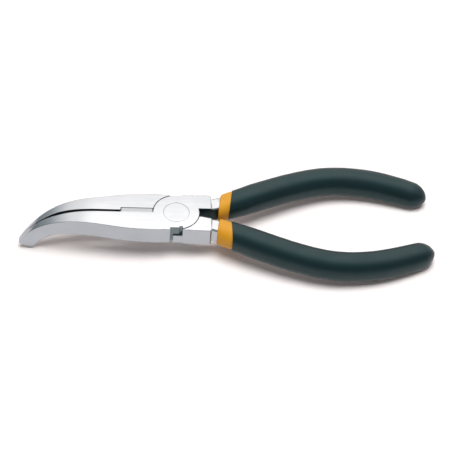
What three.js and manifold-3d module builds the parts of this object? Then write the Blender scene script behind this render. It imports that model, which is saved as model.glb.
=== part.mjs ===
// Bent-nose pliers with side cutters: two lap-jointed forged halves, one flush rivet and, on each handle,
// an inner and an outer dipped sleeve. Millimetres, +Z up along the pivot, +X towards the handles.
// The origin is on the pivot axis, in the flat underside of the joint.
import * as THREE from 'three';
import { mergeVertices } from 'three/addons/utils/BufferGeometryUtils.js';
import Module from 'manifold-3d';

const wasm = await Module();
wasm.setup();

// Joint
const TOP = 8.0;
const MID = TOP / 2;
const JOINT_HALF_WIDTH = [[-9.5, 9.25], [-5, 9.15], [0, 8.95], [4, 9.2], [8.3, 9.42], [13.5, 9.5]];
const SHOULDER_X = 13.5;
const SHOULDER_ROUND = 1.1;
const JOINT_START_X = -9.5;
const DISC_RADIUS = 8.82;
const RECESS_RADIUS = 9.0;
const LAP_GAP = 0.1;
const SHANK_INNER_Y = 2.1;
const SHANK_OUTER_Y = 11;
const NOTCH_HALF_LENGTH = 2.3;
const JAW_NOTCH_Y = 8.3;
const SHANK_NOTCH_Y = 8.7;
const UPPER_EDGE = 0.25;
const LOWER_EDGE = 0.7;
const CROWN = 0.1;
const CROWN_START = 0.58;
const INNER_CHAMFER = 0.12;

// Rivet
const HEAD_RADIUS = 5;
const HEAD_HEIGHT = 1.15;
const PIN_RADIUS = 3;
const PIN_CLEARANCE = 0.08;

// Nose, as distances from the pivot along its unbent upper line
const NOSE_CURVATURE = [
  [24, 0], [28, 0.002], [34, 0.0185], [40, 0.032], [46, 0.0375], [52, 0.034], [58, 0.0295], [69, 0.024],
];
const CURVE_STEP = 0.25;
const NOSE_LENGTH = 69.0;
const TIP_ROUND = 1.6;
const TIP_NARROWING = 0.55;
const ROOT_STEP = 3;
const TOOTH_PITCH = 1.5;
const TOOTH_DEPTH = 0.2;
const TEETH_START = 24;
const NOSE_HALF_WIDTH = [
  [0, 8.95], [7.6, 9.3], [12, 9.25], [16.7, 9.0], [21, 8.6], [28, 7.45], [36, 6.25], [44, 4.95], [52, 3.45],
  [60, 1.98], [65, 1.4], [69, 1.05],
];
const NOSE_THICKNESS = [
  [0, TOP], [9, TOP], [20, 7.85], [30, 7.8], [38, 7.55], [46, 7.25], [54, 6.9], [61, 6.7], [69, 6.5],
];
const NOSE_HALF_GAP = [
  [0, 0.08], [21.5, 0.08], [22.6, 0.3], [30, 0.36], [46, 0.45], [48, 0.4], [52, 0.18], [58, 0.1], [69, 0.08],
];

// Side cutter
const CUTTER_NEAR_X = -8.7;
const CUTTER_FAR_X = -21.4;
const REAR_BEVEL_WIDTH = 1.75;
const FRONT_BEVEL_WIDTH = 0.35;
const BEVEL_DEPTH = 0.5;
const CUTTER_LAND = 0.4;
const RELIEF_HALF_WIDTH = 1.9;

// Handles: plan centreline of the half whose handle lies on the +Y side
const HANDLE_LINE = [
  [12, 5.25], [14, 5.35], [16, 5.95], [20, 7.6], [25, 9.75], [45, 18.35], [57, 21.9], [66, 22.65],
  [77.5, 21.35], [89, 17.85], [94.5, 15.65], [98.8, 13.85],
];
const SECTION_SIDES = 16;
const SECTION_POWER = 2.6;
const STATION_STEP = 6.5;
const TANG_END = 6.0;
const INNER_SLEEVE_START = 4.9;
const INNER_SLEEVE_END = 1.2;
const OUTER_SLEEVE_START = 9.9;
const LIP_LEAN = 0.42;
const LEAN_FADE = 15;
const SLEEVE_CLEARANCE = 0.15;
const COLLAR_LIP = 0.75;
const OUTER_LIP = 0.25;
const TANG_END_ROUND = 2.4;
const INNER_END_ROUND = 4.4;
const OUTER_END_ROUND = 6.2;

// Half widths and half heights of the handle sections
const NECK_SIZE = [3.0, 3.3];
const TANG_SIZE = [3.1, 2.7];
const COLLAR_SIZE = [4.9, 4.2];
const INNER_SLEEVE_SIZE = [4.45, 3.8];
const INNER_END_SIZE = [3.7, 3.25];
const OUTER_START_SIZE = [5.15, 4.55];
const OUTER_SLEEVE_SIZE = [5.5, 4.85];
const OUTER_END_SIZE = [4.8, 4.25];

const ROUND_SEGMENTS = 72;

const MATERIALS = {
  chrome: { color: 0xd5d8da, roughness: 0.16, metalness: 1.0 },
  rivet: { color: 0xcfd2d4, roughness: 0.2, metalness: 1.0 },
  orange: { color: 0xdc9a34, roughness: 0.5, metalness: 0.0 },
  grip: { color: 0x2c3a3e, roughness: 0.55, metalness: 0.0 },
};

// A closed geometry becomes a solid once its doubled vertices are merged and its empty triangles are gone.
function toSolid(geometry) {
  const bare = new THREE.BufferGeometry();
  bare.setAttribute('position', geometry.getAttribute('position').clone());
  if (geometry.index) bare.setIndex(geometry.index.clone());
  const merged = mergeVertices(bare, 1e-4);
  const source = merged.index.array;
  const kept = [];
  for (let i = 0; i < source.length; i += 3) {
    const [a, b, c] = [source[i], source[i + 1], source[i + 2]];
    if (a !== b && b !== c && c !== a) kept.push(a, b, c);
  }
  const mesh = new wasm.Mesh({
    numProp: 3,
    vertProperties: new Float32Array(merged.getAttribute('position').array),
    triVerts: new Uint32Array(kept),
  });
  return new wasm.Manifold(mesh);
}

function toGeometry(solid) {
  const mesh = solid.getMesh();
  const geometry = new THREE.BufferGeometry();
  geometry.setAttribute('position', new THREE.BufferAttribute(new Float32Array(mesh.vertProperties), 3));
  geometry.setIndex(new THREE.BufferAttribute(new Uint32Array(mesh.triVerts), 1));
  geometry.computeVertexNormals();
  return geometry;
}

// Skin over rings of equal length, closed at both ends by a fan. Rings run counter-clockwise as seen
// from the far end looking back to the first.
function loft(rings) {
  const sides = rings[0].length;
  const points = rings.flat();
  const index = [];
  for (let r = 0; r + 1 < rings.length; r += 1) {
    for (let i = 0; i < sides; i += 1) {
      const a = r * sides + i;
      const b = r * sides + ((i + 1) % sides);
      index.push(a, b, b + sides, a, b + sides, a + sides);
    }
  }
  const last = (rings.length - 1) * sides;
  for (let i = 1; i + 1 < sides; i += 1) {
    index.push(0, i + 1, i);
    index.push(last, last + i, last + i + 1);
  }
  const geometry = new THREE.BufferGeometry().setFromPoints(points);
  geometry.setIndex(index);
  return toSolid(geometry);
}

function cylinder(radius, bottom, top) {
  const geometry = new THREE.CylinderGeometry(radius, radius, top - bottom, ROUND_SEGMENTS);
  geometry.rotateX(Math.PI / 2);
  geometry.translate(0, 0, (top + bottom) / 2);
  return toSolid(geometry);
}

function box(low, high) {
  const geometry = new THREE.BoxGeometry(high[0] - low[0], high[1] - low[1], high[2] - low[2]);
  geometry.translate((high[0] + low[0]) / 2, (high[1] + low[1]) / 2, (high[2] + low[2]) / 2);
  return toSolid(geometry);
}

// A straight bar along X with the given outline in (Y, Z).
function bar(outline, fromX, toX) {
  const shape = new THREE.Shape(outline.map(([y, z]) => new THREE.Vector2(y, z)));
  const geometry = new THREE.ExtrudeGeometry(shape, { depth: toX - fromX, bevelEnabled: false });
  const axes = new THREE.Matrix4().makeBasis(
    new THREE.Vector3(0, 1, 0),
    new THREE.Vector3(0, 0, 1),
    new THREE.Vector3(1, 0, 0),
  );
  geometry.applyMatrix4(axes);
  geometry.translate(fromX, 0, 0);
  return toSolid(geometry);
}

// Smooth value between the rows of a [distance, value] table.
function valueAt(table, distance) {
  let row = 0;
  while (row + 2 < table.length && table[row + 1][0] <= distance) row += 1;
  const [d0, v0] = table[row];
  const [d1, v1] = table[row + 1];
  const slopeOf = (i) => {
    const [below, above] = [table[Math.max(i - 1, 0)], table[Math.min(i + 1, table.length - 1)]];
    return (above[1] - below[1]) / (above[0] - below[0]);
  };
  const span = d1 - d0;
  const t = THREE.MathUtils.clamp((distance - d0) / span, 0, 1);
  const rise = (v1 - v0) / span;
  const steepest = 3 * Math.abs(rise);
  const limit = (slope) => (slope * rise <= 0 ? 0 : Math.sign(rise) * Math.min(Math.abs(slope), steepest));
  const [m0, m1] = [limit(slopeOf(row)), limit(slopeOf(row + 1))];
  const blend = t * t * (3 - 2 * t);
  return v0 + (v1 - v0) * blend + span * (m0 * t * (1 - t) ** 2 - m1 * t * t * (1 - t));
}

// Upper line of the nose, walked from the pivot in small steps.
function walkNose() {
  const line = [{ turned: 0, x: 0, z: TOP }];
  while ((line.length - 1) * CURVE_STEP < NOSE_LENGTH) {
    const last = line[line.length - 1];
    const turn = valueAt(NOSE_CURVATURE, (line.length - 0.5) * CURVE_STEP) * CURVE_STEP;
    const heading = last.turned + turn / 2;
    line.push({
      turned: last.turned + turn,
      x: last.x - CURVE_STEP * Math.cos(heading),
      z: last.z - CURVE_STEP * Math.sin(heading),
    });
  }
  return line;
}

const noseLine = walkNose();

// Place of a nose point: distance along the upper line, sideways offset, and depth below the upper line.
function bend(distance, y, depth) {
  const row = Math.min(Math.floor(distance / CURVE_STEP), noseLine.length - 2);
  const [before, after] = [noseLine[row], noseLine[row + 1]];
  const along = distance / CURVE_STEP - row;
  const mix = (key) => THREE.MathUtils.lerp(before[key], after[key], along);
  const turned = mix('turned');
  return new THREE.Vector3(mix('x') + depth * Math.sin(turned), y, mix('z') - depth * Math.cos(turned));
}

// Outline of one jaw across the nose as [y, depth]: y runs from the parting face out to the side.
function jawOutline(inner, outer, thickness) {
  const edge = (round) => {
    const corner = round * (1 - Math.SQRT1_2);
    return [
      [inner, INNER_CHAMFER],
      [inner + INNER_CHAMFER, 0],
      [outer * CROWN_START, 0],
      [outer - round, CROWN],
      [outer - corner, CROWN + corner],
      [outer, CROWN + round],
    ];
  };
  const narrow = Math.min(1, (outer - inner) * 0.5);
  const lower = edge(LOWER_EDGE * narrow).map(([y, depth]) => [y, thickness - depth]).reverse();
  return [...edge(UPPER_EDGE * narrow), ...lower];
}

function jawRing(distance, side, tooth, shrink) {
  const thickness = valueAt(NOSE_THICKNESS, distance) - 2 * shrink;
  const outer = valueAt(NOSE_HALF_WIDTH, distance) - shrink;
  const inner = valueAt(NOSE_HALF_GAP, distance) + tooth;
  return jawOutline(inner, outer, thickness).map(([y, depth]) => bend(distance, side * y, depth + shrink));
}

// One jaw, from the pivot to the tip, with V teeth across its parting face. side is -1 or +1 in Y.
function jaw(side) {
  const rings = [];
  for (let distance = 0; distance < TEETH_START; distance += ROOT_STEP) {
    rings.push(jawRing(distance, side, 0, 0));
  }
  const toothEnd = NOSE_LENGTH - TIP_ROUND;
  const halfPitches = 2 * Math.floor((toothEnd - TEETH_START) / TOOTH_PITCH);
  for (let i = 0; i <= halfPitches; i += 1) {
    const distance = TEETH_START + (i * TOOTH_PITCH) / 2;
    rings.push(jawRing(distance, side, i % 2 === 0 ? 0 : TOOTH_DEPTH, 0));
  }
  for (const angle of [30, 60, 90].map(THREE.MathUtils.degToRad)) {
    const distance = toothEnd + TIP_ROUND * Math.sin(angle);
    rings.push(jawRing(distance, side, 0, TIP_NARROWING * (1 - Math.cos(angle))));
  }
  return loft(side < 0 ? rings.map((ring) => [...ring].reverse()) : rings);
}

// Both halves' shared outer form round the joint, before it is shared out between them.
function jointEnvelope() {
  const stations = [JOINT_START_X, -5, 0, 2.5, 5, 8.3].map((x) => [x, 0]);
  for (const angle of [0, 30, 60, 90].map(THREE.MathUtils.degToRad)) {
    const x = SHOULDER_X - SHOULDER_ROUND * (1 - Math.sin(angle));
    stations.push([x, SHOULDER_ROUND * (1 - Math.cos(angle))]);
  }
  const rings = stations.map(([x, inset]) => {
    const side = jawOutline(0, valueAt(JOINT_HALF_WIDTH, x) - inset, TOP).slice(2, -2);
    const outline = [...side, ...side.map(([y, depth]) => [-y, depth]).reverse()];
    return outline.map(([y, depth]) => new THREE.Vector3(x, y, TOP - depth));
  });
  return loft(rings.map((ring) => [...ring].reverse()));
}

const handleCurve = new THREE.CatmullRomCurve3(
  HANDLE_LINE.map(([x, y]) => new THREE.Vector3(x, y, MID)),
  false,
  'centripetal',
);
const handleLength = handleCurve.getLength();

// One ring round the handle. lip is where a sleeve starts: its dip line leans back towards plan square.
function handleRing(distance, size, lip) {
  const at = distance / handleLength;
  const centre = handleCurve.getPointAt(at);
  const tangent = handleCurve.getTangentAt(at);
  const across = new THREE.Vector3(-tangent.y, tangent.x, 0);
  const fade = lip === undefined ? 0 : THREE.MathUtils.smoothstep(LEAN_FADE - (distance - lip), 0, LEAN_FADE);
  const ring = [];
  for (let i = 0; i < SECTION_SIDES; i += 1) {
    const angle = (2 * Math.PI * i) / SECTION_SIDES;
    const [c, s] = [Math.cos(angle), Math.sin(angle)];
    const y = Math.sign(c) * Math.abs(c) ** (2 / SECTION_POWER) * size[0];
    const z = Math.sign(s) * Math.abs(s) ** (2 / SECTION_POWER) * size[1];
    const place = centre.clone().addScaledVector(across, y).addScaledVector(tangent, y * LIP_LEAN * fade);
    ring.push(place.add(new THREE.Vector3(0, 0, z)));
  }
  return ring;
}

// A bar along the handle, from its first distance to a rounded end. sizes has rows of
// [distance, [half width, half height]].
function handleBar(sizes, end, endRound, lip) {
  const tables = [0, 1].map((axis) => sizes.map(([distance, size]) => [distance, size[axis]]));
  const sizeAt = (distance) => tables.map((table) => valueAt(table, distance));
  const start = sizes[0][0];
  const knots = sizes.map(([distance]) => distance).filter((distance) => distance < end - endRound);
  knots.push(end - endRound);
  const distances = [];
  for (let k = 0; k + 1 < knots.length; k += 1) {
    const count = Math.ceil((knots[k + 1] - knots[k]) / STATION_STEP);
    for (let i = 0; i < count; i += 1) distances.push(THREE.MathUtils.lerp(knots[k], knots[k + 1], i / count));
  }
  const rings = distances.map((distance) => handleRing(distance, sizeAt(Math.max(distance, start)), lip));
  for (const angle of [0, 35, 62, 80].map(THREE.MathUtils.degToRad)) {
    const distance = end - endRound * (1 - Math.sin(angle));
    rings.push(handleRing(distance, sizeAt(distance).map((half) => half * Math.cos(angle)), lip));
  }
  return loft(rings);
}

const END = handleLength;
const END_TAPER = 28;
const grown = (size, by) => size.map((half) => half + by);
const TANG_SIZES = [[0, NECK_SIZE], [5, NECK_SIZE], [9, TANG_SIZE], [END, TANG_SIZE]];
const INNER_SIZES = [
  [INNER_SLEEVE_START, grown(COLLAR_SIZE, -COLLAR_LIP)],
  [INNER_SLEEVE_START + COLLAR_LIP, grown(COLLAR_SIZE, -COLLAR_LIP / 3)],
  [INNER_SLEEVE_START + 2.5, COLLAR_SIZE],
  [OUTER_SLEEVE_START - 0.4, COLLAR_SIZE],
  [OUTER_SLEEVE_START + 3, INNER_SLEEVE_SIZE],
  [END - END_TAPER, INNER_SLEEVE_SIZE],
  [END, INNER_END_SIZE],
];
const OUTER_SIZES = [
  [OUTER_SLEEVE_START, grown(OUTER_START_SIZE, -OUTER_LIP)],
  [OUTER_SLEEVE_START + 2 * OUTER_LIP, OUTER_START_SIZE],
  [OUTER_SLEEVE_START + 11, OUTER_SLEEVE_SIZE],
  [END - END_TAPER, OUTER_SLEEVE_SIZE],
  [END, OUTER_END_SIZE],
];

function cavity(sizes, end, endRound, lip) {
  const first = [sizes[0][0] - 2, sizes[0][1]];
  const all = [first, ...sizes].map(([distance, size]) => [
    Math.max(distance, 0),
    grown(size, SLEEVE_CLEARANCE),
  ]);
  return handleBar(all, end, endRound, lip);
}

const tangEnd = END - TANG_END;
const innerEnd = END - INNER_SLEEVE_END;

function tang() {
  return handleBar(TANG_SIZES, tangEnd, TANG_END_ROUND);
}

function innerSleeve() {
  const hollow = cavity(TANG_SIZES.slice(1), tangEnd + SLEEVE_CLEARANCE, TANG_END_ROUND);
  return handleBar(INNER_SIZES, innerEnd, INNER_END_ROUND, INNER_SLEEVE_START).subtract(hollow);
}

function outerSleeve() {
  const reach = innerEnd + SLEEVE_CLEARANCE;
  const hollow = cavity(INNER_SIZES.slice(3), reach, INNER_END_ROUND, INNER_SLEEVE_START);
  return handleBar(OUTER_SIZES, END, OUTER_END_ROUND, OUTER_SLEEVE_START).subtract(hollow);
}

function rivet() {
  const profile = [
    [0, 0], [HEAD_RADIUS, 0], [HEAD_RADIUS, HEAD_HEIGHT], [PIN_RADIUS, HEAD_HEIGHT],
    [PIN_RADIUS, TOP - HEAD_HEIGHT], [HEAD_RADIUS, TOP - HEAD_HEIGHT], [HEAD_RADIUS, TOP], [0, TOP],
  ].map(([radius, height]) => new THREE.Vector2(radius, height));
  const geometry = new THREE.LatheGeometry(profile, ROUND_SEGMENTS);
  geometry.rotateX(Math.PI / 2);
  return toSolid(geometry);
}

// Room for the rivet: a bore and a counterbore for each head.
function rivetRoom() {
  const head = HEAD_RADIUS + PIN_CLEARANCE;
  const seat = HEAD_HEIGHT + PIN_CLEARANCE;
  return cylinder(PIN_RADIUS + PIN_CLEARANCE, -1, TOP + 1)
    .add(cylinder(head, -1, seat))
    .add(cylinder(head, TOP - seat, TOP + 1));
}

// The wedge-shaped space over the cutting edges and the relief below them.
function cutterRoom() {
  const edge = TOP - BEVEL_DEPTH;
  const lift = 1;
  const grow = (BEVEL_DEPTH + lift) / BEVEL_DEPTH;
  const bevel = [[0, edge], [REAR_BEVEL_WIDTH * grow, TOP + lift], [-FRONT_BEVEL_WIDTH * grow, TOP + lift]];
  const relief = [[0, edge - CUTTER_LAND], [-RELIEF_HALF_WIDTH, -lift], [RELIEF_HALF_WIDTH, -lift]];
  return bar(bevel, CUTTER_FAR_X, CUTTER_NEAR_X).add(bar(relief, CUTTER_FAR_X, CUTTER_NEAR_X - 0.6));
}

// Flat sides beside the pivot that let the shoulders pass: deeper by the half's own jaw than by its shank.
function notches() {
  const far = SHANK_OUTER_Y;
  return box([-NOTCH_HALF_LENGTH, SHANK_NOTCH_Y, -1], [NOTCH_HALF_LENGTH, far, TOP + 1])
    .add(box([-NOTCH_HALF_LENGTH, -far, -1], [NOTCH_HALF_LENGTH, -JAW_NOTCH_Y, TOP + 1]));
}

// A half owns the joint's disc above the lap plane, the jaw at -Y and the handle at +Y. The other half's
// joint and handle are the same turned over about X, but both jaws bend the same way.
function half(jawSide) {
  const turnOver = jawSide > 0;
  const flip = (solid) => (turnOver ? solid.rotate([180, 0, 0]).translate([0, 0, TOP]) : solid);
  const envelope = jointEnvelope();
  const shank = envelope.intersect(box([0, SHANK_INNER_Y, -1], [SHOULDER_X + 1, SHANK_OUTER_Y, TOP + 1]));
  const disc = envelope.intersect(cylinder(DISC_RADIUS, MID + LAP_GAP / 2, TOP + 1));
  const recess = cylinder(RECESS_RADIUS, -1, MID + LAP_GAP / 2);
  const body = jaw(jawSide).add(flip(shank.add(tang()))).subtract(flip(recess)).add(flip(disc));
  return body.subtract(flip(notches())).subtract(rivetRoom()).subtract(cutterRoom());
}

function piece(name, solid, look) {
  const mesh = new THREE.Mesh(toGeometry(solid), new THREE.MeshStandardMaterial(look));
  mesh.name = name;
  return mesh;
}

const pliers = new THREE.Group();
pliers.add(piece('half_upper', half(-1), MATERIALS.chrome));
pliers.add(piece('half_lower', half(1), MATERIALS.chrome));
pliers.add(piece('pivot_rivet', rivet(), MATERIALS.rivet));
for (const [suffix, turned] of [['rear', false], ['front', true]]) {
  const handle = new THREE.Group();
  handle.rotation.x = turned ? Math.PI : 0;
  handle.position.z = turned ? TOP : 0;
  handle.add(piece(`inner_sleeve_${suffix}`, innerSleeve(), MATERIALS.orange));
  handle.add(piece(`outer_sleeve_${suffix}`, outerSleeve(), MATERIALS.grip));
  pliers.add(handle);
}

export default pliers;
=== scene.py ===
"""Bent-nose pliers: chromed lap-jointed halves, flush rivet, two dipped layers on each handle."""
import math

import bpy
import numpy as np
from mathutils import Matrix, Vector


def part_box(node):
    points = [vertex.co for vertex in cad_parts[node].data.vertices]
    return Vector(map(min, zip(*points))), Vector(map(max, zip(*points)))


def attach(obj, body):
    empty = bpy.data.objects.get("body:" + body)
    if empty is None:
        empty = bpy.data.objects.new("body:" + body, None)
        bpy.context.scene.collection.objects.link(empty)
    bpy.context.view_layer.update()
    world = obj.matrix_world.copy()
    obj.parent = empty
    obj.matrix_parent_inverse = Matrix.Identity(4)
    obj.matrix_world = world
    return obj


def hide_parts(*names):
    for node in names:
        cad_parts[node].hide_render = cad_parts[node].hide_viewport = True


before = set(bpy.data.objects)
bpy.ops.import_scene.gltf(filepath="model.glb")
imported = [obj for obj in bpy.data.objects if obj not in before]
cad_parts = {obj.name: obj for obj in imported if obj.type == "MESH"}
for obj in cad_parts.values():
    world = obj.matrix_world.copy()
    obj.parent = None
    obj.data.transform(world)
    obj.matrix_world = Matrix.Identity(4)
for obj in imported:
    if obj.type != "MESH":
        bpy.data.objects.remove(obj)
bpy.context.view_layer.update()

MM = 0.001

# ---------------------------------------------------------------- sizes, in millimetres
# The joint's upper face and the rivet head's radius are read from the solids
rivet_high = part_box("pivot_rivet")[1] / MM
TOP = rivet_high.z
MID = TOP / 2
HEAD_RADIUS = rivet_high.x
HEAD_HEIGHT = 1.15
HEAD_DOME = 0.04
PIN_RADIUS = 3.0
PIN_CHAMFER = (0.02, 0.05)
BORE_RADIUS = 3.06

# Joint. Half widths run from the pivot towards the handles.
SHANK_HALF_WIDTH = ((0, 8.95), (4, 9.2), (8.3, 9.42), (13.5, 9.5))
SHOULDER_X = 13.5
SHOULDER_ROUND = 1.1
SHANK_FLARE_START = 9.5
INNER_EDGE = 0.2
NECK_START = 10
NECK_FILLET = 0.25
DISC_RADIUS = 8.8
RECESS_RADIUS = 9.05
LAP_GAP = 0.1
SHANK_INNER_Y = 2.1
SHANK_FLARE = 0.75
NOTCH_HALF_LENGTH = 2.35
JAW_NOTCH_Y = 8.15
SHANK_NOTCH_Y = 8.72
SLOT_LENGTH = 1.15
JAW_SLOT_Y = 7.4
# The slot's depth in the lap joint's own disc, by the side that the half's jaw is on
SHANK_SLOT_Y = {-1: 8.55, 1: 7.5}
HEAD_GAP = 0.03
HEAD_EDGE = 0.07
SEAM_ROUND = 0.14
CROWN = 0.13
UPPER_EDGE = 0.22
LOWER_EDGE = 0.75
SHANK_EDGE = 0.25

# Nose, as distances from the pivot along its upper line
NOSE_CURVATURE = (
    (24, 0), (28, 0.002), (34, 0.0185), (40, 0.032), (46, 0.0375), (52, 0.034), (58, 0.0295), (69, 0.024),
)
NOSE_LENGTH = 69.0
TIP_ROUND = 2.2
TOOTH_PITCH = 1.0
TOOTH_DEPTH = 0.2
TEETH_START = 24.5
TEETH_BORDER = 0.9
TEETH_FADE = 0.3
NOSE_HALF_WIDTH = (
    (0, 8.95), (7.6, 9.35), (12, 9.3), (16.7, 9.05), (21, 8.62), (28, 7.45), (36, 6.25), (44, 4.95),
    (52, 3.45), (60, 1.98), (65, 1.4), (67.6, 1.15), (69, 0.6),
)
NOSE_THICKNESS = (
    (0, TOP), (9, TOP), (20, 7.85), (30, 7.8), (38, 7.55), (46, 7.25), (54, 6.9), (61, 6.7), (69, 6.5),
)
NOSE_HALF_GAP = (
    (0, 0.05), (20.9, 0.05), (21.3, 0.52), (30, 0.58), (46, 0.66), (49, 0.5), (53, 0.24), (58, 0.1),
    (69, 0.05),
)
PARTING_EDGE = 0.12

# Side cutter
CUTTER_NEAR = 8.8
CUTTER_FAR = 21.4
REAR_BEVEL_WIDTH = 1.75
FRONT_BEVEL_WIDTH = 0.35
BEVEL_DEPTH = 0.54
BEVEL_STEP = 0.13
END_GROOVE_WIDTH = 0.36
END_GROOVE_DEPTH = 1.0
CUTTER_LAND = 0.4
CUTTER_ROUND = 0.05
RELIEF_HALF_WIDTH = 1.9

# Handles: centreline of the handle at +Y, the same as the solids'
HANDLE_LINE = (
    (12, 5.25), (14, 5.35), (16, 5.95), (20, 7.6), (25, 9.75), (45, 18.35), (57, 21.9), (66, 22.65),
    (77.5, 21.35), (89, 17.85), (94.5, 15.65), (98.8, 13.85),
)
NECK_Y = HANDLE_LINE[0][1]
SECTION_POWER = 2.6
NECK_SIZE = (3.05, 3.3)
NECK_EDGE = 1.0
TANG_SIZE = (3.1, 2.7)
TANG_TAPER_START = 3.5
TANG_TAPER_LENGTH = 5
TANG_SHORT_OF_END = 6.0
TANG_ROUND = 2.0


# ---------------------------------------------------------------- camera
# Azimuth, elevation and roll in degrees, places in metres, lens and sensor in millimetres
CAMERA_ANGLES = (-5.8, 46.6, 5.64)
CAMERA_TARGET = (0.0189, -0.0025)
CAMERA_DISTANCE = 0.638
CAMERA_LENS = 132.6
CAMERA_SENSOR = 36


def make_camera():
    """Looks down on the tool from the front, turned a little, at the middle of the joint's thickness."""
    azimuth, elevation, roll = map(math.radians, CAMERA_ANGLES)
    target = Vector((*CAMERA_TARGET, MID * MM))
    back = Vector((
        math.sin(azimuth) * math.cos(elevation),
        -math.cos(azimuth) * math.cos(elevation),
        math.sin(elevation),
    ))
    data = bpy.data.cameras.new("camera")
    data.lens = CAMERA_LENS
    data.sensor_width = CAMERA_SENSOR
    camera = bpy.data.objects.new("camera", data)
    bpy.context.scene.collection.objects.link(camera)
    right = Vector((math.cos(azimuth), math.sin(azimuth), 0))
    up = back.cross(right)
    level = Matrix((right, up, back)).transposed()
    turn = level @ Matrix.Rotation(roll, 3, "Z")
    camera.matrix_world = Matrix.Translation(target + back * CAMERA_DISTANCE) @ turn.to_4x4()
    bpy.context.scene.camera = camera


# ---------------------------------------------------------------- curves and tables
def value_at(table, distance):
    """Smooth values between the rows of a (distance, value) table, with no overshoot."""
    xs, ys = np.array(table, float).T
    rise = np.diff(ys) / np.diff(xs)
    slope = np.zeros(len(xs))
    same = rise[:-1] * rise[1:] > 0
    slope[1:-1] = np.where(same, 2 * rise[:-1] * rise[1:] / np.where(same, rise[:-1] + rise[1:], 1), 0)
    slope[0], slope[-1] = rise[0], rise[-1]
    distance = np.clip(distance, xs[0], xs[-1])
    row = np.clip(np.searchsorted(xs, distance, side="right") - 1, 0, len(xs) - 2)
    span = (xs[1:] - xs[:-1])[row]
    t = (distance - xs[row]) / span
    ease = t * t * (3 - 2 * t)
    bow = span * (slope[row] * t * (1 - t) ** 2 - slope[row + 1] * t * t * (1 - t))
    return ys[row] * (1 - ease) + ys[row + 1] * ease + bow


def catmull_rom(points, samples=60):
    """Dense points of a centripetal Catmull-Rom curve, and the distance along it at each one."""
    points = np.array(points, float)
    ends = (2 * points[0] - points[1], 2 * points[-1] - points[-2])
    control = np.vstack((ends[0], points, ends[1]))
    dense = []
    for i in range(1, len(control) - 2):
        p = control[i - 1:i + 3]
        knots = np.concatenate(([0], np.cumsum(np.sqrt(np.linalg.norm(np.diff(p, axis=0), axis=1)))))
        t = np.linspace(knots[1], knots[2], samples, endpoint=False)[:, None]
        def mix(a, b, k0, k1):
            return (a * (k1 - t) + b * (t - k0)) / (k1 - k0)
        a = [mix(p[k], p[k + 1], knots[k], knots[k + 1]) for k in range(3)]
        b = [mix(a[k], a[k + 1], knots[k], knots[k + 2]) for k in range(2)]
        dense.append(mix(b[0], b[1], knots[1], knots[2]))
    dense.append(points[-1:])
    dense = np.vstack(dense)
    lengths = np.concatenate(([0], np.cumsum(np.linalg.norm(np.diff(dense, axis=0), axis=1))))
    return dense, lengths


HANDLE_POINTS, HANDLE_DISTANCES = catmull_rom(HANDLE_LINE)
HANDLE_LENGTH = HANDLE_DISTANCES[-1]


def handle_place(distance):
    """Centre and direction of the handle's line in plan. It runs on straight past both ends."""
    distance = np.asarray(distance, float)
    inside = np.clip(distance, 0, HANDLE_LENGTH)
    centre = np.stack([np.interp(inside, HANDLE_DISTANCES, HANDLE_POINTS[:, k]) for k in (0, 1)], -1)
    directions = np.gradient(HANDLE_POINTS, HANDLE_DISTANCES, axis=0)
    along = np.stack([np.interp(inside, HANDLE_DISTANCES, directions[:, k]) for k in (0, 1)], -1)
    along /= np.linalg.norm(along, axis=-1, keepdims=True)
    return centre + along * (distance - inside)[..., None], along


# ---------------------------------------------------------------- rounded joins of distance fields
def both(a, b, round_):
    """Overlap of two fields with a rounded outer edge."""
    corner = np.hypot(np.maximum(a + round_, 0), np.maximum(b + round_, 0))
    return np.minimum(np.maximum(a, b), -round_) + corner


def either(a, b, round_):
    """Union of two fields with a rounded inner corner."""
    return -both(-a, -b, round_)


# ---------------------------------------------------------------- the steel halves as distance fields
def crown_drop(y, half_width):
    """How far the crowned faces fall away towards the sides."""
    return CROWN * (y / half_width) ** 2


def jaw_field(distance, y, z):
    """One jaw before it is bent: distance runs to the tip, y out from the parting face."""
    half_width = value_at(NOSE_HALF_WIDTH, distance)
    half_gap = value_at(NOSE_HALF_GAP, distance)
    narrow = np.minimum(1, (half_width - half_gap) * 0.5)
    drop = crown_drop(y, half_width)
    bottom = TOP - value_at(NOSE_THICKNESS, distance) + drop
    field = both(y - half_width, z - TOP + drop, UPPER_EDGE * narrow)
    field = both(field, bottom - z, LOWER_EDGE * narrow)
    border = np.clip(np.minimum(TOP - z, z - bottom) - TEETH_BORDER, 0, TEETH_FADE) / TEETH_FADE
    teeth = TOOTH_DEPTH * 2 * np.abs((distance / TOOTH_PITCH) % 1 - 0.5) * border
    toothed = (distance > TEETH_START) & (distance < NOSE_LENGTH - TOOTH_PITCH)
    inner = half_gap + np.where(toothed, teeth, 0)
    field = both(field, inner - y, PARTING_EDGE)
    end = both(distance - NOSE_LENGTH, np.maximum(z - TOP + drop, bottom - z), TIP_ROUND)
    return np.maximum(field, np.maximum(end, -distance))


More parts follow.
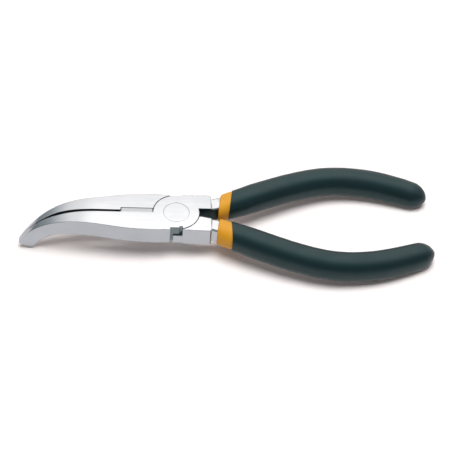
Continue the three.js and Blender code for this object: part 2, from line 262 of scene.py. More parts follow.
def cutter_field(distance, y, z):
    """The wedge of space over the cutting edges and the relief below them."""
    width = np.where(y > 0, REAR_BEVEL_WIDTH, FRONT_BEVEL_WIDTH)
    lean = np.arctan2(width, BEVEL_DEPTH - BEVEL_STEP)
    edge = TOP - BEVEL_DEPTH
    bevel = np.abs(y) * np.cos(lean) - (z - edge) * np.sin(lean)
    relief_lean = math.atan2(RELIEF_HALF_WIDTH, edge - CUTTER_LAND)
    relief = np.abs(y) * math.cos(relief_lean) + (z - edge + CUTTER_LAND) * math.sin(relief_lean)
    bevel = np.maximum(bevel, np.abs(y) - width)
    wedge = np.maximum(np.minimum(bevel, relief), np.maximum(distance - CUTTER_FAR, CUTTER_NEAR - distance))
    half = END_GROOVE_WIDTH / 2
    off_end = np.minimum(np.abs(distance - CUTTER_NEAR - half), np.abs(distance - CUTTER_FAR + half)) - half
    groove = np.maximum(off_end, np.maximum(np.abs(y) - width, TOP - END_GROOVE_DEPTH - z))
    return np.minimum(wedge, groove)


def bar_field(y, z, half_width, half_height, round_):
    """Long bar with a rounded rectangular section."""
    across = np.abs(y) - half_width + round_
    upward = np.abs(z) - half_height + round_
    outside = np.hypot(np.maximum(across, 0), np.maximum(upward, 0))
    return outside + np.minimum(np.maximum(across, upward), 0) - round_


def shank_field(x, y, z):
    """Full-thickness shoulder, neck and the tang inside the sleeves, all before the handle is bent."""
    half_width = value_at(SHANK_HALF_WIDTH, x)
    drop = crown_drop(y, half_width)
    flare = np.clip((x - SHANK_FLARE_START) / (SHOULDER_X - SHANK_FLARE_START), 0, 1)
    inner = SHANK_INNER_Y + SHANK_FLARE * flare * flare * (3 - 2 * flare) * np.clip(1 - z / TOP, 0, 1)
    field = both(y - half_width, x - SHOULDER_X, SHOULDER_ROUND)
    field = both(field, z - TOP + drop, UPPER_EDGE)
    field = both(field, drop - z, SHANK_EDGE)
    field = both(field, inner - y, INNER_EDGE)
    field = np.maximum(field, -x)
    thinning = np.clip((x - SHOULDER_X - TANG_TAPER_START) / TANG_TAPER_LENGTH, 0, 1)
    half_width = NECK_SIZE[0] + (TANG_SIZE[0] - NECK_SIZE[0]) * thinning
    half_height = NECK_SIZE[1] + (TANG_SIZE[1] - NECK_SIZE[1]) * thinning
    bar = bar_field(y - NECK_Y, z - MID, half_width, half_height, NECK_EDGE)
    bar = both(bar, x - HANDLE_LINE[0][0] - HANDLE_LENGTH + TANG_SHORT_OF_END, TANG_ROUND)
    bar = np.maximum(bar, NECK_START - x)
    return either(field, bar, NECK_FILLET)


def half_field(x, y, z, side):
    """One half with its jaw at side (-1 or 1) in Y. Its disc is above the lap plane when side is -1."""
    handle_y, handle_z = (y, z) if side < 0 else (-y, TOP - z)
    radius = np.hypot(x, y)
    lap = MID + LAP_GAP / 2
    shank = shank_field(x, handle_y, handle_z)
    jaw = jaw_field(-x, side * y, z)
    body = np.minimum(jaw, shank)
    recess = np.maximum(radius - RECESS_RADIUS, handle_z - lap)
    body = both(body, -recess, SEAM_ROUND)
    drop = crown_drop(y, SHANK_HALF_WIDTH[0][1])
    disc = both(radius - DISC_RADIUS, np.maximum(z - TOP + drop, drop - z), SEAM_ROUND)
    disc = both(disc, lap - handle_z, SEAM_ROUND)
    toward = -np.sign(handle_y) * x
    slot_y = np.where(handle_y < 0, JAW_SLOT_Y, SHANK_SLOT_Y[side])
    slot = np.maximum(toward - NOTCH_HALF_LENGTH, NOTCH_HALF_LENGTH - SLOT_LENGTH - toward)
    slot = np.maximum(slot, slot_y - np.abs(y))
    disc = both(disc, -slot, SEAM_ROUND)
    body = np.minimum(body, disc)
    notch_y = np.where(handle_y < 0, JAW_NOTCH_Y, SHANK_NOTCH_Y)
    notch = np.maximum(np.abs(x) - NOTCH_HALF_LENGTH, notch_y - np.abs(y))
    body = both(body, -notch, SEAM_ROUND)
    seat = HEAD_HEIGHT + HEAD_GAP
    counterbore = np.maximum(radius - HEAD_RADIUS - HEAD_GAP, np.minimum(z, TOP - z) - seat)
    bore = np.minimum(radius - BORE_RADIUS, counterbore)
    body = both(body, -bore, HEAD_EDGE)
    return both(body, -cutter_field(-x, y, z), CUTTER_ROUND)


def walk_nose(step=0.1):
    """Distance, turn, x and z along the nose's upper line."""
    distance = np.arange(0, NOSE_LENGTH + 2, step)
    curvature = np.where(distance > NOSE_CURVATURE[0][0], value_at(NOSE_CURVATURE, distance), 0)
    turn = np.cumsum(curvature) * step
    x = -np.cumsum(np.cos(turn)) * step
    z = TOP - np.cumsum(np.sin(turn)) * step
    return distance + step, turn, x, z


def bend(points):
    """Moves unbent points to their place: the nose bends down, and the tang follows the handle's line."""
    x, y, z = points.T
    walked, turn, line_x, line_z = walk_nose()
    distance = np.maximum(-x, 0)
    turned = np.interp(distance, walked, turn)
    depth = TOP - z
    stations = np.insert(walked, 0, 0)
    nose_x = np.interp(distance, stations, np.insert(line_x, 0, 0)) + depth * np.sin(turned)
    nose_x = np.where(x > 0, x, nose_x)
    nose_z = np.interp(distance, stations, np.insert(line_z, 0, TOP)) - depth * np.cos(turned)
    side = np.sign(y)
    centre, along = handle_place(x - HANDLE_LINE[0][0])
    across = np.abs(y) - NECK_Y
    on_handle = x > SHOULDER_X
    bent_x = np.where(on_handle, centre[:, 0] - along[:, 1] * across, nose_x)
    bent_y = np.where(on_handle, side * (centre[:, 1] + along[:, 0] * across), y)
    return np.stack((bent_x, bent_y, nose_z), -1)


# ---------------------------------------------------------------- mesh from a distance field
# How strongly a corner is held at the middle of its crossings, and how far it may leave its cell
CORNER_HOLD = 0.03
CELL_SLACK = 0.05


def gradients(field, points, step=0.01):
    """Unit normals of a field at some points."""
    result = np.empty_like(points)
    for axis in range(3):
        ahead, behind = points.copy(), points.copy()
        ahead[:, axis] += step
        behind[:, axis] -= step
        result[:, axis] = field(*ahead.T) - field(*behind.T)
    return result / np.maximum(np.linalg.norm(result, axis=1, keepdims=True), 1e-9)


def dual_contour(field, axes):
    """Quads on the zero surface of a field, with their corners pulled on to its edges and corners."""
    values = field(*np.meshgrid(*axes, indexing="ij"))
    shape = np.array(values.shape)
    cell_shape = tuple(shape - 1)
    cells, hits, normals, faces = [], [], [], []
    for axis in range(3):
        low = [slice(None)] * 3
        high = [slice(None)] * 3
        low[axis], high[axis] = slice(None, -1), slice(1, None)
        first, second = values[tuple(low)], values[tuple(high)]
        index = np.argwhere((first < 0) != (second < 0))
        at = tuple(index.T)
        v0, v1 = first[at], second[at]
        start = np.stack([axes[k][index[:, k]] for k in range(3)], -1)
        end = start.copy()
        end[:, axis] = axes[axis][index[:, axis] + 1]
        t0, t1 = np.zeros(len(v0)), np.ones(len(v0))
        for _ in range(4):
            t = t0 + (t1 - t0) * np.clip(v0 / (v0 - v1), 0.02, 0.98)
            value = field(*(start + (end - start) * t[:, None]).T)
            same = (value < 0) == (v0 < 0)
            t0, v0 = np.where(same, t, t0), np.where(same, value, v0)
            t1, v1 = np.where(same, t1, t), np.where(same, v1, value)
        t = t0 + (t1 - t0) * v0 / (v0 - v1)
        hit = start + (end - start) * t[:, None]
        normal = gradients(field, hit)
        b, c = (axis + 1) % 3, (axis + 2) % 3
        around = []
        for shift_b, shift_c in ((1, 1), (0, 1), (0, 0), (1, 0)):
            cell = index.copy()
            cell[:, b] -= shift_b
            cell[:, c] -= shift_c
            around.append(np.ravel_multi_index(tuple(cell.T), cell_shape))
        around = np.stack(around, -1)
        rising = first[at] < 0
        faces.append(np.where(rising[:, None], around, around[:, ::-1]))
        cells.append(around.ravel())
        hits.append(np.repeat(hit, 4, axis=0))
        normals.append(np.repeat(normal, 4, axis=0))
    cells, inverse = np.unique(np.concatenate(cells), return_inverse=True)
    hits, normals = np.vstack(hits), np.vstack(normals)
    count = np.bincount(inverse)[:, None]

    def total(columns):
        return np.stack([np.bincount(inverse, column) for column in columns.T], -1)

    middle = total(hits) / count
    offsets = np.einsum("ij,ij->i", normals, hits - middle[inverse])
    matrix = total((normals[:, :, None] * normals[:, None, :]).reshape(-1, 9)).reshape(-1, 3, 3)
    right = total(normals * offsets[:, None])
    matrix += np.eye(3) * (CORNER_HOLD * count)[:, :, None]
    corner = middle + np.linalg.solve(matrix, right[:, :, None])[:, :, 0]
    cell = np.stack(np.unravel_index(cells, cell_shape), -1)
    for k in range(3):
        width = np.diff(axes[k])[cell[:, k]]
        low = axes[k][cell[:, k]]
        corner[:, k] = np.clip(corner[:, k], low - CELL_SLACK * width, low + (1 + CELL_SLACK) * width)
    quads = np.searchsorted(cells, np.vstack(faces))
    return corner, quads


def steps(*stretches):
    """Grid lines: each stretch is (start, end, spacing)."""
    lines = [np.arange(round((end - start) / gap)) * (end - start) / round((end - start) / gap) + start
             for start, end, gap in stretches]
    return np.concatenate(lines + [[stretches[-1][1]]])


def mesh_object(name, points, faces, material, sharp=38):
    """Object from points in millimetres. Edges over the sharp angle, in degrees, stay sharp."""
    mesh = bpy.data.meshes.new(name)
    mesh.from_pydata((np.asarray(points) * MM).tolist(), [], [list(map(int, face)) for face in faces])
    mesh.validate()
    mesh.shade_smooth()
    if sharp:
        mesh.set_sharp_from_angle(angle=math.radians(sharp))
    mesh.materials.append(material)
    piece = bpy.data.objects.new(name, mesh)
    bpy.context.scene.collection.objects.link(piece)
    return piece


# Grid spacing at the joint and across every section, along the nose, along the neck and along the tang
JOINT_GRID, NOSE_GRID = ((0.18, 0.25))
NECK_GRID = 0.5
TANG_GRID = 1.6
GRID_TIP_MARGIN = 0.6
GRID_JOINT = (-11, 15)
GRID_NECK_END = 20
GRID_HALF_WIDTH = 9.9
GRID_HEIGHT_MARGIN = 0.4


def make_half(name, side, material):
    """One steel half, meshed straight and then bent."""
    tang_end = HANDLE_LINE[0][0] + HANDLE_LENGTH
    x_lines = steps(
        (-NOSE_LENGTH - GRID_TIP_MARGIN, GRID_JOINT[0], NOSE_GRID),
        (*GRID_JOINT, JOINT_GRID),
        (GRID_JOINT[1], GRID_NECK_END, NECK_GRID),
        (GRID_NECK_END, tang_end, TANG_GRID),
    )
    y_lines = steps((-GRID_HALF_WIDTH, GRID_HALF_WIDTH, JOINT_GRID))
    z_lines = steps((-GRID_HEIGHT_MARGIN, TOP + GRID_HEIGHT_MARGIN, JOINT_GRID))
    points, quads = dual_contour(lambda x, y, z: half_field(x, y, z, side), (x_lines, y_lines, z_lines))
    return mesh_object(name, bend(points), quads, material)


# ---------------------------------------------------------------- rivet
def make_rivet(material, segments=128):
    """A pin with a slightly domed head at each end, turned from a profile mirrored in its middle."""
    arc = [math.radians(a) for a in (0, 22.5, 45, 67.5, 90)]
    top_profile = [(HEAD_RADIUS * k, TOP - HEAD_DOME * k * k) for k in (0.0, 0.35, 0.65, 0.85)]
    top_profile += [
        (HEAD_RADIUS - HEAD_EDGE * (1 - math.sin(a)), TOP - HEAD_DOME - HEAD_EDGE * (1 - math.cos(a)))
        for a in arc
    ]
    seat = TOP - HEAD_HEIGHT
    neck = [(HEAD_RADIUS, seat), (PIN_RADIUS + PIN_CHAMFER[0], seat), (PIN_RADIUS, seat - PIN_CHAMFER[1])]
    profile = top_profile + neck
    profile += [(radius, TOP - z) for radius, z in reversed(profile)]
    points = [(0, 0, TOP)]
    turns = np.linspace(0, 2 * math.pi, segments, False)
    for radius, z in profile[1:-1]:
        points += [(radius * math.cos(a), radius * math.sin(a), z) for a in turns]
    points.append((0, 0, 0))
    rows = len(profile) - 2
    faces = [(0, 1 + k, 1 + (k + 1) % segments) for k in range(segments)]
    for row in range(rows - 1):
        base = 1 + row * segments
        for k in range(segments):
            n = (k + 1) % segments
            faces.append((base + k, base + segments + k, base + segments + n, base + n))
    base = 1 + (rows - 1) * segments
    faces += [(len(points) - 1, base + (k + 1) % segments, base + k) for k in range(segments)]
    return mesh_object("rivet", points, faces, material)


# ---------------------------------------------------------------- dipped sleeves
# Sizes are (half width, half height). Tables and tapers run along the handle from a sleeve's lip.
COLLAR_SIZE = (4.95, 4.3)
INNER_HALF_WIDTH = ((0, 4.45), (58, 4.45), (84, 3.6))
INNER_FLATNESS = 0.854
OUTER_HALF_WIDTH = ((0, 5.15), (11, 5.5), (58, 5.5), (70, 5.3), (79, 4.85))
OUTER_FLATNESS = 0.882
END_ROUND = 6.4
END_POWER = 1.75
SLANT_FADE = 15
LIP_STEP = 5.0
RING = 72
CLEARANCE = 0.06
LIP_DEPTH = 1.0
BORE_SHORT_OF_END = 3.0
BORE_START = 2.0
BORE_STATIONS = 14
END_STATIONS = 14
END_LAST_ANGLE = 86
LIP_START, LIP_END, LIP_SPACING, LENGTH_SPACING = 0.25, 6, 0.35, 1.0
COLLAR_SHOULDER = (5.6, 3)
COLLAR_LIP_SCALE, COLLAR_LIP_LENGTH, COLLAR_LIP_POWER = 0.94, 2.5, 0.6
COLLAR_BORE_TAPER = (0.5, 5)
GRIP_BORE_TAPER = (0.3, 3)


def distance_at(x):
    """Distance along the handle's line where it passes x."""
    return float(np.interp(x, HANDLE_POINTS[:, 0], HANDLE_DISTANCES))


def sleeve_ring(distance, size, lip, slant, side):
    """One ring round the handle. Near the lip its plane leans over to the dip line."""
    turn = np.linspace(0, 2 * math.pi, RING, False)
    c, s = np.cos(turn), np.sin(turn)
    across = np.sign(c) * np.abs(c) ** (2 / SECTION_POWER) * size[0]
    up = np.sign(s) * np.abs(s) ** (2 / SECTION_POWER) * size[1]
    centre, along = handle_place(np.array([distance]))
    centre, along = centre[0], along[0]
    fade = np.clip(1 - (distance - lip) / SLANT_FADE, 0, 1)
    shift = across * slant * fade * fade * (3 - 2 * fade)
    x = centre[0] - along[1] * across + along[0] * shift
    y = centre[1] + along[0] * across + along[1] * shift
    return np.stack((x, side * y, MID + up), -1)


def make_sleeve(name, side, lip_x, lean, wall, end_inset, material):
    """wall(distance from lip) gives (outer size, inner size). The sleeve is closed at the handle's end."""
    lip = distance_at(lip_x)
    end = HANDLE_LENGTH - end_inset
    length = end - lip
    along = handle_place(np.array([lip]))[1][0]
    slant = math.tan(math.atan2(along[1], along[0]) + math.atan(lean))
    end_round = END_ROUND - end_inset
    rings = []
    inner_stations = np.linspace(length - BORE_SHORT_OF_END, BORE_START, BORE_STATIONS)
    rings += [(d, wall(d)[1]) for d in inner_stations]
    outer_lip, inner_lip = (np.array(size) for size in wall(0))
    thickness = (outer_lip - inner_lip) / 2
    middle = (outer_lip + inner_lip) / 2
    depth = min(float(thickness.min()), LIP_DEPTH)
    for a in np.radians((90, 70, 50, 30, 10, -10, -30, -50, -70, -90)):
        rings.append((depth * (1 - math.cos(a)), middle - thickness * math.sin(a)))
    straight = np.concatenate((
        np.arange(depth + LIP_START, LIP_END, LIP_SPACING),
        np.arange(LIP_END, length - end_round, LENGTH_SPACING),
    ))
    rings += [(d, wall(d)[0]) for d in straight]
    for u in np.sin(np.radians(np.linspace(0, END_LAST_ANGLE, END_STATIONS))):
        scale = (1 - u ** END_POWER) ** (1 / END_POWER)
        d = length - end_round + end_round * u
        rings.append((d, np.array(wall(length - end_round)[0]) * scale))
    points = [sleeve_ring(lip + d, size, lip, slant, side) for d, size in rings]
    last_centre = handle_place(np.array([end]))[0]
    first_centre = points[0].mean(axis=0)
    pole = np.array([last_centre[0][0], side * last_centre[0][1], MID])
    points = np.vstack(points + [first_centre[None], pole[None]])
    faces = []
    for row in range(len(rings) - 1):
        for k in range(RING):
            n = (k + 1) % RING
            a, b = row * RING + k, row * RING + n
            faces.append((a, a + RING, b + RING, b))
    first_pole, last_pole = len(rings) * RING, len(rings) * RING + 1
    base = (len(rings) - 1) * RING
    for k in range(RING):
        n = (k + 1) % RING
        faces.append((first_pole, k, n))
        faces.append((last_pole, base + n, base + k))
    if side < 0:
        faces = [face[::-1] for face in faces]
    return mesh_object(name, points, [face[::-1] for face in faces], material, sharp=None)


def inner_size(d):
    """Half width and half height of the orange layer under the grip, at a distance from its lip."""
    return value_at(INNER_HALF_WIDTH, d) * np.array((1, INNER_FLATNESS))


def collar_wall(d):
    """Outer and inner size of the orange layer: a thick collar that steps down where the grip covers it."""
    start, span = COLLAR_SHOULDER
    step = np.clip((d - start) / span, 0, 1)
    blend_ = step * step * (3 - 2 * step)
    growth = np.clip(d / COLLAR_LIP_LENGTH, 0, 1) ** COLLAR_LIP_POWER
    grow = COLLAR_LIP_SCALE + (1 - COLLAR_LIP_SCALE) * growth
    outer = np.array(COLLAR_SIZE) * grow * (1 - blend_) + inner_size(d) * blend_
    start, span = COLLAR_BORE_TAPER
    thin = np.clip((d - start) / span, 0, 1)
    inner = (np.array(NECK_SIZE) * (1 - thin) + np.array(TANG_SIZE) * thin) + CLEARANCE
    return outer, inner


def grip_wall(d):
    """Outer and inner size of the dark layer, which starts over the collar and follows the layer below."""
    outer = value_at(OUTER_HALF_WIDTH, d) * np.array((1, OUTER_FLATNESS))
    start, span = GRIP_BORE_TAPER
    inside = np.clip((d - start) / span, 0, 1)
    inner = np.array(COLLAR_SIZE) * (1 - inside) + inner_size(d + LIP_STEP) * inside + CLEARANCE
    return outer, inner


# ---------------------------------------------------------------- materials
# Noise scales are in cycles per metre and bump distances in metres.
# The unnamed sockets of a colour Mix node are 6 (first), 7 (second) and output 2.
MIX_FACTOR, MIX_FIRST, MIX_SECOND, MIX_OUT = 0, 6, 7, 2
NOISE_RANGE = (0.3, 0.7)


def new_material(name):
    """Material, its node tree and its Principled BSDF."""
    material = bpy.data.materials.new(name)
    material.use_nodes = True
    tree = material.node_tree
    return material, tree, tree.nodes["Principled BSDF"]


def add(tree, kind, **values):
    node = tree.nodes.new(kind)
    for key, value in values.items():
        if key in node.inputs:
            node.inputs[key].default_value = value
        else:
            setattr(node, key, value)
    return node


def coordinates(tree, scale):
    source = add(tree, "ShaderNodeTexCoord")
    mapping = add(tree, "ShaderNodeMapping")
    mapping.inputs["Scale"].default_value = scale
    tree.links.new(source.outputs["Object"], mapping.inputs["Vector"])
    return mapping.outputs["Vector"]


def noise(tree, scale, detail=3.0, roughness=0.5):
    node = add(tree, "ShaderNodeTexNoise", Scale=1.0, Detail=detail, Roughness=roughness)
    tree.links.new(coordinates(tree, scale), node.inputs["Vector"])
    return node.outputs["Fac"]


def spread(tree, value, low, high):
    """Noise keeps to its middle values, so they are stretched over the whole of low to high."""
    node = add(tree, "ShaderNodeMapRange")
    node.inputs["From Min"].default_value = NOISE_RANGE[0]
    node.inputs["From Max"].default_value = NOISE_RANGE[1]
    node.inputs["To Min"].default_value = low
    node.inputs["To Max"].default_value = high
    tree.links.new(value, node.inputs["Value"])
    return node.outputs["Result"]


def tint(tree, factor, low, high):
    """Colour between low and high."""
    node = add(tree, "ShaderNodeMix", data_type="RGBA")
    node.inputs[MIX_FIRST].default_value = (*low, 1)
    node.inputs[MIX_SECOND].default_value = (*high, 1)
    tree.links.new(factor, node.inputs[MIX_FACTOR])
    return node.outputs[MIX_OUT]


def bump(tree, height, distance, below=None):
    node = add(tree, "ShaderNodeBump", Strength=1.0, Distance=distance)
    tree.links.new(height, node.inputs["Height"])
    if below is not None:
        tree.links.new(below, node.inputs["Normal"])
    return node.outputs["Normal"]


PLATE_COLOURS = ((0.39, 0.418, 0.45), (0.425, 0.452, 0.485))
# Painted shade: a dark steel colour on the faces that look into the gap between the halves and, in part, on
# the side notch walls. Next come the roughness of those faces and the notches' share of the shade.
PAINTED_SHADE_STEEL = (0.06, 0.10, 0.108)
INNER_FACE_ROUGHNESS = 0.4
NOTCH_SHADE_SHARE = 0.72
INWARD_START, INWARD_FULL = -0.45, -0.75
OUTWARD_LIMIT = 0.5
# How far past the notch's length, floor and slot its painted shade reaches, in millimetres
NOTCH_MARGIN, FLOOR_MARGIN, SLOT_MARGIN = 0.1, 0.3, 0.4


def math_node(tree, operation, first, second=None):
    """Math node on two values, each a number or a socket."""
    node = add(tree, "ShaderNodeMath", operation=operation)
    for socket, value in zip(node.inputs, (first, second)):
        if isinstance(value, (int, float)):
            socket.default_value = value
        elif value is not None:
            tree.links.new(value, socket)
    return node.outputs[0]


def painted_shade_mask(tree):
    """Mask of painted shade: 1 on the machined faces that look across the parting plane into the shaded gap
    between the halves, less in the side notches, 0 elsewhere.
    """
    source = add(tree, "ShaderNodeTexCoord")
    place = add(tree, "ShaderNodeSeparateXYZ")
    facing = add(tree, "ShaderNodeSeparateXYZ")
    tree.links.new(source.outputs["Object"], place.inputs[0])
    tree.links.new(source.outputs["Normal"], facing.inputs[0])
    outward = math_node(tree, "MULTIPLY", math_node(tree, "SIGN", place.outputs["Y"]), facing.outputs["Y"])
    node = add(tree, "ShaderNodeMapRange")
    node.inputs["From Min"].default_value = INWARD_START
    node.inputs["From Max"].default_value = INWARD_FULL
    tree.links.new(outward, node.inputs["Value"])
    along = math_node(tree, "ABSOLUTE", place.outputs["X"])
    aside = math_node(tree, "ABSOLUTE", place.outputs["Y"])
    inside = math_node(tree, "LESS_THAN", aside, (JAW_NOTCH_Y + FLOOR_MARGIN) * MM)
    for test in (
        math_node(tree, "LESS_THAN", along, (NOTCH_HALF_LENGTH + NOTCH_MARGIN) * MM),
        math_node(tree, "GREATER_THAN", aside, (JAW_SLOT_Y - SLOT_MARGIN) * MM),
        math_node(tree, "GREATER_THAN", outward, OUTWARD_LIMIT),
    ):
        inside = math_node(tree, "MULTIPLY", inside, test)
    # The notch walls get part of the painted shade
    notch = math_node(tree, "MULTIPLY", inside, NOTCH_SHADE_SHARE)
    return math_node(tree, "MAXIMUM", node.outputs["Result"], notch)


def chrome_material(name, low, high):
    """Brushed chrome plate with a roughness from low to high, and a dark painted shade on the inner faces
    and in the side notches.
    """
    material, tree, shader = new_material(name)
    shader.inputs["Metallic"].default_value = 1.0
    smudge = noise(tree, (90, 90, 90), 4.0)
    plated = tint(tree, spread(tree, smudge, 0, 1), *PLATE_COLOURS)
    # Painted shade: the inner faces and the notch walls take a dark colour in place of the plating
    shade_mask = painted_shade_mask(tree)
    plate_and_shade = add(tree, "ShaderNodeMix", data_type="RGBA")
    plate_and_shade.inputs[MIX_SECOND].default_value = (*PAINTED_SHADE_STEEL, 1)
    tree.links.new(shade_mask, plate_and_shade.inputs[MIX_FACTOR])
    tree.links.new(plated, plate_and_shade.inputs[MIX_FIRST])
    tree.links.new(plate_and_shade.outputs[MIX_OUT], shader.inputs["Base Color"])
    rough = add(tree, "ShaderNodeMix", data_type="FLOAT")
    rough.inputs[3].default_value = INNER_FACE_ROUGHNESS
    tree.links.new(shade_mask, rough.inputs[0])
    tree.links.new(spread(tree, noise(tree, (160, 420, 420), 3.0), low, high), rough.inputs[2])
    tree.links.new(rough.outputs[0], shader.inputs["Roughness"])
    lines = noise(tree, (70, 1500, 1500), 4.0, 0.6)
    waves = noise(tree, (60, 330, 330), 1.0)
    normal = bump(tree, waves, 0.00003)
    tree.links.new(bump(tree, lines, 0.000006, normal), shader.inputs["Normal"])
    return material


def vinyl_material(name, low, high, roughness, gloss):
    """Dipped vinyl: a colour between low and high, a roughness range and the tint of its shine."""
    material, tree, shader = new_material(name)
    shader.inputs["Specular IOR Level"].default_value = 0.5
    shader.inputs["Specular Tint"].default_value = (*gloss, 1)
    mottle = noise(tree, (120, 120, 120), 4.0, 0.6)
    tree.links.new(tint(tree, spread(tree, mottle, 0, 1), low, high), shader.inputs["Base Color"])
    tree.links.new(spread(tree, noise(tree, (260, 260, 260), 3.0), *roughness), shader.inputs["Roughness"])
    grain = noise(tree, (2600, 2600, 2600), 2.0)
    uneven = noise(tree, (55, 110, 110), 1.5)
    normal = bump(tree, uneven, 0.00022)
    tree.links.new(bump(tree, grain, 0.000012, normal), shader.inputs["Normal"])
    return material


FLOOR_COLOURS = ((0.945, 0.905, 0.895), (0.96, 0.925, 0.915))


def floor_material():
    material, tree, shader = new_material("floor")
    fleck = noise(tree, (40, 40, 40), 3.0)
    paper = tint(tree, spread(tree, fleck, 0, 1), *FLOOR_COLOURS)
    tree.links.new(paper, shader.inputs["Base Color"])
    shader.inputs["Roughness"].default_value = 0.9
    shader.inputs["Specular IOR Level"].default_value = 0.1
    return material


# ---------------------------------------------------------------- floor and light
# Millimetres: where the tool rests, from its two ends, and the gap below it. Metres: the floor's half size.
TIP_REST = 3.2
GRIP_REST = 6
FLOOR_GAP = 0.05
FLOOR_HALF_SIZE = 3.0


def make_floor():
    """The tool rests on its nose tip and both grips' undersides, so the floor leans by a few degrees."""
    tip_low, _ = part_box("half_upper")
    grip_low, grip_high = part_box("outer_sleeve_rear")
    tip_x = tip_low.x + TIP_REST * MM
    grip_x = grip_high.x - GRIP_REST * MM
    slope = (grip_low.z - tip_low.z) / (grip_x - tip_x)
    lean = -math.atan(slope)
    mesh = bpy.data.meshes.new("floor")
    half = FLOOR_HALF_SIZE
    corners = [(-half, -half, 0), (half, -half, 0), (half, half, 0), (-half, half, 0)]
    mesh.from_pydata(corners, [], [(0, 1, 2, 3)])
    mesh.materials.append(floor_material())
    floor = bpy.data.objects.new("floor", mesh)
    bpy.context.scene.collection.objects.link(floor)
    height = tip_low.z - slope * tip_x - FLOOR_GAP * MM
    floor.matrix_world = Matrix.Translation((0, 0, height)) @ Matrix.Rotation(lean, 4, "Y")


# Directions are (azimuth, elevation) in degrees. Azimuth 0 is behind the tool and 180 in front of it.
PANEL_DIRECTION = (-6, 58)
LIGHT_DISTANCE = 1.2
# Name, direction, size in metres, power in watts, colour, and whether it casts shadows
LIGHTS = (
    ("top_softbox", (180, 81), 0.8, 16.4, (1, 1, 1), True),
    ("fill_softbox", (0, 40), 0.9, 5.4, (1, 0.9, 0.875), False),
)


def direction(azimuth, elevation):
    """Unit vector towards an azimuth and elevation."""
    azimuth, elevation = math.radians(azimuth), math.radians(elevation)
    flat = math.cos(elevation)
    return Vector((-math.sin(azimuth) * flat, math.cos(azimuth) * flat, math.sin(elevation)))


def make_light(name, towards, size, power, colour, shadow):
    """A round softbox. The chrome mirrors the studio and not the softbox itself."""
    data = bpy.data.lights.new(name, "AREA")
    data.shape = "DISK"
    data.size = size
    data.energy = power
    data.color = colour
    data.use_shadow = shadow
    light = bpy.data.objects.new(name, data)
    bpy.context.scene.collection.objects.link(light)
    axis = direction(*towards)
    light.location = axis * LIGHT_DISTANCE
    light.rotation_mode = "QUATERNION"
    light.rotation_quaternion = axis.to_track_quat("Z", "Y")
    light.visible_glossy = False


# Studio brightness by angle from the middle of the light panel, in degrees, as shares of STUDIO_LEVEL
STUDIO_LEVEL = 3.6
# Even brightness of the front half, and the Y of a direction where it starts to fade and where it is gone
FRONT_LEVEL = 0.45
FRONT_FADE = (-0.2, 0.58)
STUDIO = (
    (0, (0.80, 0.752, 0.712)), (8, (0.72, 0.672, 0.638)), (12, (0.66, 0.618, 0.585)),
    (15, (0.57, 0.535, 0.507)), (19, (0.51, 0.48, 0.458)), (27, (0.46, 0.435, 0.42)),
    (35, (0.375, 0.357, 0.343)), (43, (0.28, 0.28, 0.275)), (51, (0.185, 0.192, 0.192)),
    (60, (0.135, 0.145, 0.145)), (70, (0.10, 0.113, 0.115)), (90, (0.05, 0.06, 0.065)),
)


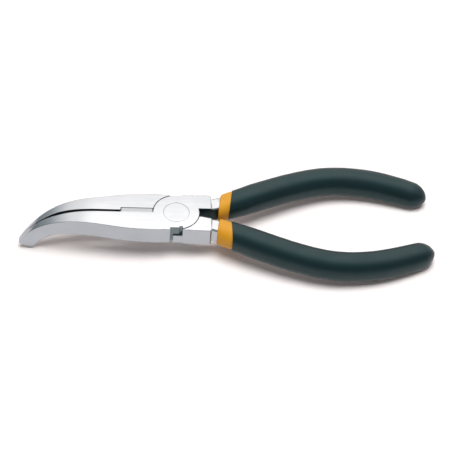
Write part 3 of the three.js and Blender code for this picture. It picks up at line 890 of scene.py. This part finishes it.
def make_world():
    """The studio that the tool mirrors. The camera itself sees a plain white backdrop."""
    world = bpy.data.worlds.new("studio")
    bpy.context.scene.world = world
    world.use_nodes = True
    world.cycles_visibility.diffuse = False
    tree = world.node_tree
    background = tree.nodes["Background"]
    backdrop = add(tree, "ShaderNodeBackground", Strength=1.0)
    backdrop.inputs["Color"].default_value = (1, 1, 1, 1)
    source = add(tree, "ShaderNodeTexCoord")
    dot = add(tree, "ShaderNodeVectorMath", operation="DOT_PRODUCT")
    dot.inputs[1].default_value = direction(*PANEL_DIRECTION)
    tree.links.new(source.outputs["Generated"], dot.inputs[0])
    ramp = add(tree, "ShaderNodeValToRGB")
    elements = ramp.color_ramp.elements
    while len(elements) > 1:
        elements.remove(elements[-1])
    rows = sorted((math.cos(math.radians(angle)), colour) for angle, colour in STUDIO)
    elements[0].position, elements[0].color = rows[0][0], (*rows[0][1], 1)
    for position, colour in rows[1:]:
        elements.new(position).color = (*colour, 1)
    tree.links.new(dot.outputs["Value"], ramp.inputs["Fac"])
    path = add(tree, "ShaderNodeLightPath")
    seen = add(tree, "ShaderNodeMixShader")
    aside = add(tree, "ShaderNodeSeparateXYZ")
    tree.links.new(source.outputs["Generated"], aside.inputs[0])
    front = add(tree, "ShaderNodeMapRange", interpolation_type="SMOOTHSTEP")
    front.inputs["From Min"].default_value = FRONT_FADE[0]
    front.inputs["From Max"].default_value = FRONT_FADE[1]
    whole = add(tree, "ShaderNodeMix", data_type="RGBA")
    whole.inputs[MIX_FIRST].default_value = (FRONT_LEVEL / STUDIO_LEVEL,) * 3 + (1,)
    background.inputs["Strength"].default_value = STUDIO_LEVEL
    tree.links.new(aside.outputs["Y"], front.inputs["Value"])
    tree.links.new(front.outputs["Result"], whole.inputs[MIX_FACTOR])
    tree.links.new(ramp.outputs["Color"], whole.inputs[MIX_SECOND])
    tree.links.new(whole.outputs[MIX_OUT], background.inputs["Color"])
    tree.links.new(path.outputs["Is Camera Ray"], seen.inputs[0])
    tree.links.new(background.outputs[0], seen.inputs[1])
    tree.links.new(backdrop.outputs[0], seen.inputs[2])
    tree.links.new(seen.outputs[0], tree.nodes["World Output"].inputs["Surface"])


# ---------------------------------------------------------------- put together
make_camera()
chrome = chrome_material("chromed_steel", 0.10, 0.17)
rivet_chrome = chrome_material("rivet_steel", 0.13, 0.2)
orange = vinyl_material(
    "orange_layer", low=(0.55, 0.25, 0.014), high=(0.62, 0.288, 0.02), roughness=(0.42, 0.52),
    gloss=(0.85, 0.68, 0.42),
)
grip = vinyl_material(
    "dark_grip", low=(0.0018, 0.0082, 0.0098), high=(0.0028, 0.0115, 0.0132), roughness=(0.34, 0.42),
    gloss=(0.50, 0.80, 0.86),
)

upper = make_half("half_upper_steel", -1, chrome)
lower = make_half("half_lower_steel", 1, chrome)
rivet = make_rivet(rivet_chrome)
pieces = [
    (upper, "upper", "half_upper", "chromed_steel"),
    (lower, "lower", "half_lower", "chromed_steel"),
    (rivet, "lower", "pivot_rivet", "rivet_steel"),
]
for word, side, body, inner_lip, outer_lip in (
    ("rear", 1, "upper", (16.85, 0.12), (21.3, 0.13)),
    ("front", -1, "lower", (16.05, -0.14), (21.2, 0.02)),
):
    inner = make_sleeve(f"inner_layer_{word}", side, *inner_lip, collar_wall, 1.2, orange)
    outer = make_sleeve(f"outer_layer_{word}", side, *outer_lip, grip_wall, 0.0, grip)
    pieces.append((inner, body, f"inner_sleeve_{word}", "orange_layer"))
    pieces.append((outer, body, f"outer_sleeve_{word}", "dark_grip"))

for piece, body, node, slot in pieces:
    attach(piece, body)
    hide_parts(node)

make_floor()
for light in LIGHTS:
    make_light(*light)
make_world()
bpy.context.scene.view_settings.view_transform = "Standard"
